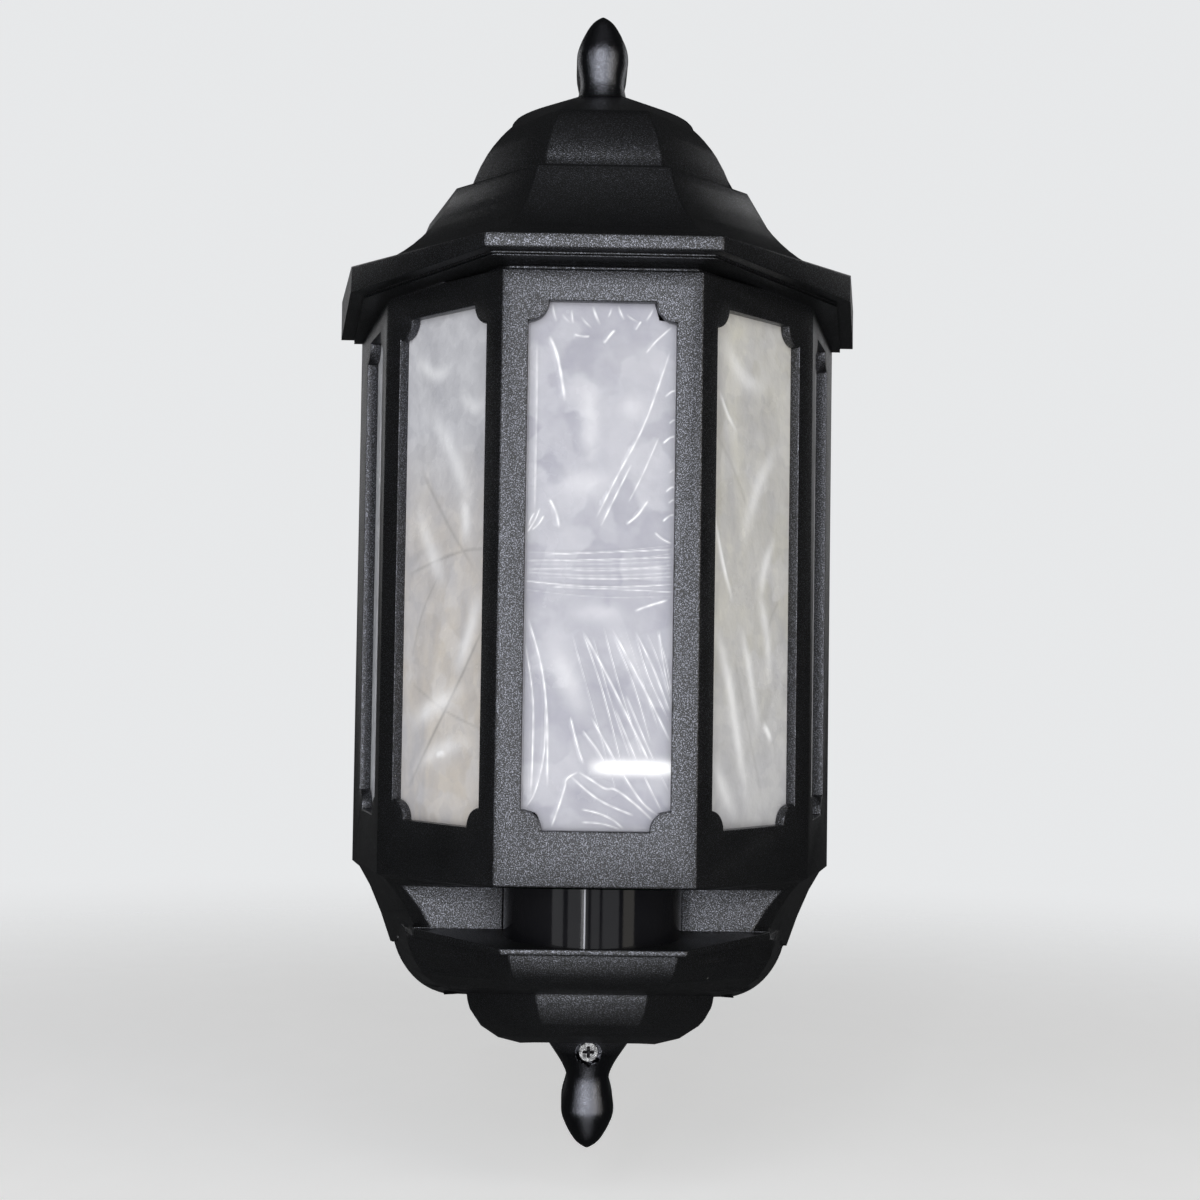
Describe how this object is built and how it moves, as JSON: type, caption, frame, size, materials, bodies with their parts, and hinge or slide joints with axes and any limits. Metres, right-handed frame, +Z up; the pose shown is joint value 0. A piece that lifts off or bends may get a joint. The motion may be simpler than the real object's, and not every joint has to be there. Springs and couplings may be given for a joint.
{
  "type": "half lantern wall light",
  "caption": "Black moulded half lantern for a wall, with flared roof, notched translucent windows, finials and a movement sensor in a recess below.",
  "frame": {"origin": "on the wall plane, half way between the two wall fixings", "axes": "+Y into the wall, +Z up, the front faces -Y"},
  "size_m": [0.169, 0.1078, 0.3615],
  "materials": {
    "black_moulding": "fine textured",
    "pane": "translucent, with crinkled film",
    "lens": "gloss",
    "bright_steel": "bright",
    "black_plate": "matt",
    "grommet": "matt",
    "white_moulding": "satin",
    "zinc_sheet": "zinc plated",
    "holder": "gloss",
    "lamp": "opal",
    "brass": "bright",
    "board": "satin",
    "relay": "satin",
    "capacitor": "sleeved",
    "knob": "satin"
  },
  "bodies": {
    "base": {"back_plate": "black_plate", "cable_grommet": "grommet", "cable_clamp": "white_moulding", "clamp_screws": "bright_steel", "lampholder_bracket": "zinc_sheet", "bracket_screws": "bright_steel", "lampholder": "holder", "lampholder_ring": "holder", "lamp": "lamp", "terminal_block": "white_moulding", "terminal_screws": "brass", "terminal_block_screw": "bright_steel"},
    "lantern": {"lantern_body": "black_moulding", "front_pane": "pane", "left_diagonal_pane": "pane", "right_diagonal_pane": "pane", "left_side_pane": "pane", "right_side_pane": "pane", "sensor_lens": "lens", "body_fixing_screw": "bright_steel", "circuit_board": "board", "board_screws": "bright_steel", "detector": "bright_steel", "relay": "relay", "capacitor": "capacitor", "board_connector": "white_moulding", "time_trimmer": "relay", "lux_trimmer": "relay"},
    "time_adjuster": {"time_knob": "knob"},
    "lux_adjuster": {"lux_knob": "knob"}
  },
  "joints": [
    {"name": "lantern_slide", "type": "slide", "parent": "base", "child": "lantern", "axis": [0, -1, 0], "range_m": [0, 0.12]},
    {"name": "time_turn", "type": "hinge", "parent": "lantern", "child": "time_adjuster", "pos_m": [-0.012, -0.0407, -0.109], "axis": [0, 1, 0], "range_deg": [0, 270]},
    {"name": "lux_turn", "type": "hinge", "parent": "lantern", "child": "lux_adjuster", "pos_m": [0.012, -0.0407, -0.109], "axis": [0, 1, 0], "range_deg": [0, 270]}
  ]
}
